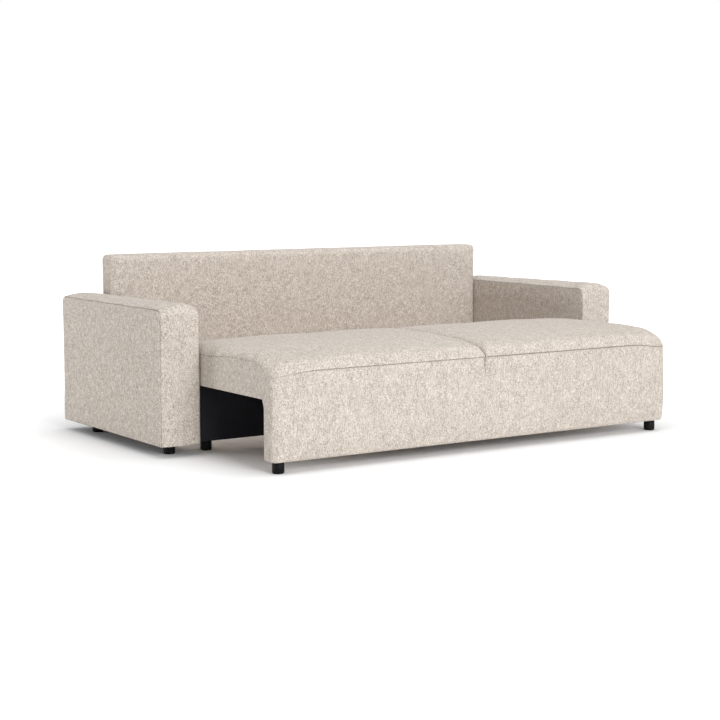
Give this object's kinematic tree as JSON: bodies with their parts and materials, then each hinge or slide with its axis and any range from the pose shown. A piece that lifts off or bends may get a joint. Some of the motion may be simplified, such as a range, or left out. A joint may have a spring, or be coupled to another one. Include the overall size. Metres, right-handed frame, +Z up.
{
  "type": "sleeper sofa",
  "caption": "Wide upholstered sofa with block arms whose slatted, cushioned seat pulls straight forward on rollers to make a bed.",
  "frame": {"origin": "on the floor, midway between the two ends and midway between the pulled-out apron's front and the arms' rear", "axes": "+X along the sofa, to the right of someone facing its front; +Y from its front to its back; +Z up"},
  "size_m": [2.352, 1.4916, 0.765],
  "materials": {
    "upholstery": "matte",
    "foam": "matte",
    "black_cloth": "matte",
    "webbing": "matte",
    "leg_plastic": "matte",
    "holder_plastic": "matte",
    "beech": "satin",
    "rubber": "matte",
    "nylon": "satin",
    "zinc_steel": "satin",
    "hardboard": "matte",
    "plywood": "matte",
    "softwood": "matte"
  },
  "bodies": {
    "sofa_frame": {"arm_base_boards": "plywood", "arm_bolts": "zinc_steel", "arm_cover_left": "upholstery", "arm_cover_right": "upholstery", "arm_dust_covers": "black_cloth", "arm_foam_left": "foam", "arm_foam_right": "foam", "arm_legs": "leg_plastic", "arm_panels": "hardboard", "arm_top_boards": "plywood", "arm_uprights": "softwood", "back_bolts": "zinc_steel", "back_bottom_rail": "softwood", "back_cover": "upholstery", "back_foam": "foam", "back_posts": "softwood", "back_top_rail": "softwood", "back_webbing": "webbing", "base_centre_board": "plywood", "base_front_board": "plywood", "base_front_skin": "black_cloth", "base_ledgers": "softwood", "base_leg_blocks": "softwood", "base_legs": "leg_plastic", "base_rear_board": "plywood", "base_side_board_left": "plywood", "base_side_board_right": "plywood", "base_slat_holders": "holder_plastic", "base_slats": "beech", "runner_left": "zinc_steel", "runner_right": "zinc_steel", "runner_stops": "rubber"},
    "pull_out_seat": {"apron_board": "plywood", "apron_bolts": "zinc_steel", "apron_cover": "upholstery", "apron_foam": "foam", "apron_rails": "softwood", "apron_uprights": "softwood", "band_boards": "plywood", "band_cover_left": "upholstery", "band_cover_right": "upholstery", "bracket_screws": "zinc_steel", "roller_axles": "zinc_steel", "roller_brackets": "zinc_steel", "seat_centre_rail": "softwood", "seat_core_left": "foam", "seat_core_right": "foam", "seat_cover_left": "upholstery", "seat_cover_right": "upholstery", "seat_front_rail": "softwood", "seat_glide": "nylon", "seat_legs": "leg_plastic", "seat_rear_rail": "softwood", "seat_side_rails": "softwood", "seat_slat_holders": "holder_plastic", "seat_slats": "beech"},
    "roller_left": {"roller_left": "nylon"},
    "roller_right": {"roller_right": "nylon"}
  },
  "joints": [
    {"name": "seat_slide", "type": "slide", "parent": "sofa_frame", "child": "pull_out_seat", "axis": [0, 1, 0], "range_m": [0, 0.5]},
    {"name": "roller_left_spin", "type": "hinge", "parent": "pull_out_seat", "child": "roller_left", "pos_m": [-0.958, -0.00425, 0.2353], "axis": [1, 0, 0], "range_deg": [-1509, 1]},
    {"name": "roller_right_spin", "type": "hinge", "parent": "pull_out_seat", "child": "roller_right", "pos_m": [0.958, -0.00425, 0.2353], "axis": [1, 0, 0], "range_deg": [-1509, 1]}
  ],
  "couplings": [
    {"joint": "roller_left_spin", "follows": "seat_slide", "rad_per_m": -52.632},
    {"joint": "roller_right_spin", "follows": "seat_slide", "rad_per_m": -52.632}
  ]
}
